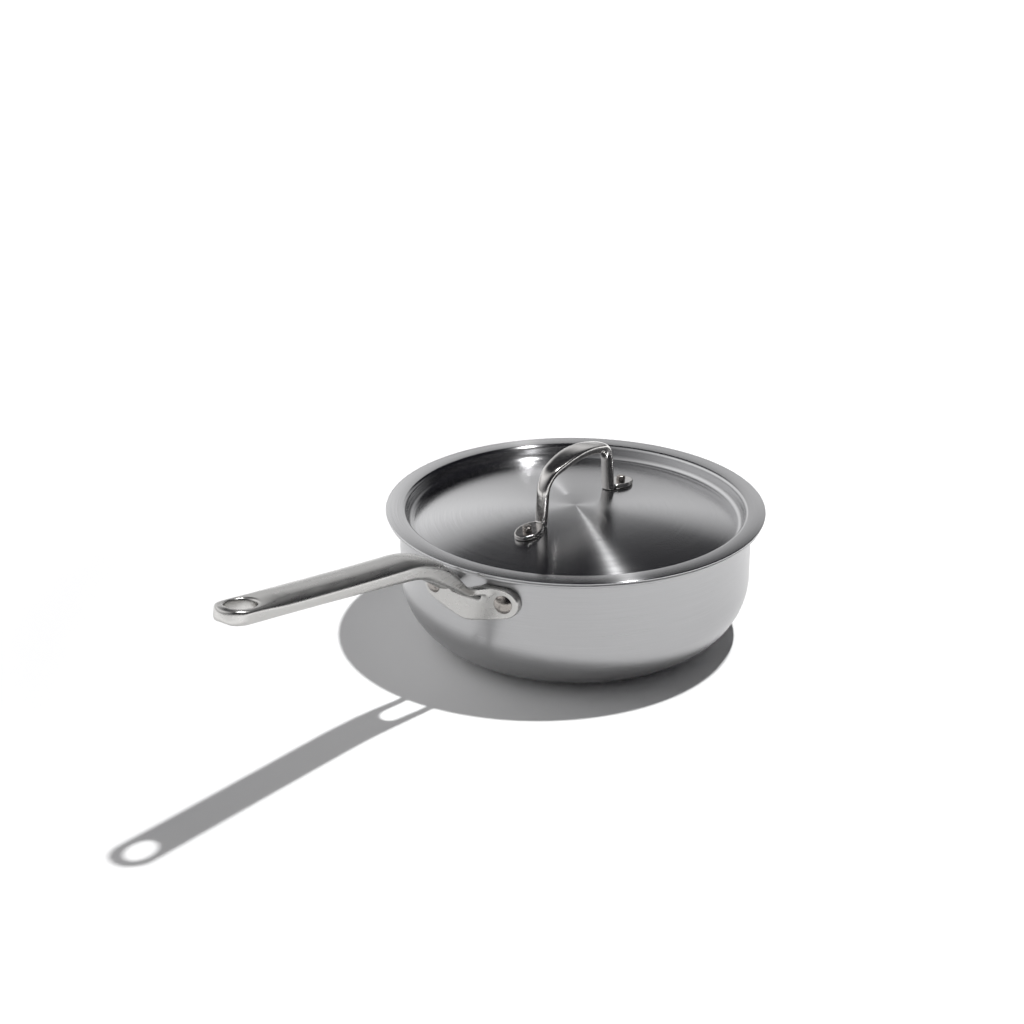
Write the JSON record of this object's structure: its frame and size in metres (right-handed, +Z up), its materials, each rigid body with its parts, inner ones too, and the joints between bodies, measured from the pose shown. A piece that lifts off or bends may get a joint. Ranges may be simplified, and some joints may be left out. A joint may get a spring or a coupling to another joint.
{
  "type": "saucier with lid",
  "caption": "Round-cornered stainless steel saucier with a forked long handle and an inset domed lid that lifts off by its arched handle.",
  "frame": {"origin": "centre of the flat base, on the surface the pan stands on", "axes": "+X along the long handle from the pan's axis towards the hanging hole, +Z up through the lid"},
  "size_m": [0.4514, 0.245, 0.14],
  "materials": {
    "pan_sheet": "brushed round the axis",
    "lid_sheet": "finely brushed round the axis",
    "cast_handle": "satin casting",
    "polished_grip": "polished casting",
    "rivet": "polished"
  },
  "bodies": {
    "pan_assembly": {"pan_body": "pan_sheet", "long_handle": "cast_handle", "handle_rivet_left": "rivet", "handle_rivet_right": "rivet"},
    "lid_assembly": {"lid": "lid_sheet", "lid_handle": "polished_grip", "lid_rivet_front": "rivet", "lid_rivet_rear": "rivet"}
  },
  "joints": [
    {"name": "lid_lift", "type": "slide", "parent": "pan_assembly", "child": "lid_assembly", "axis": [0, 0, 1], "range_m": [0, 0.15]}
  ]
}
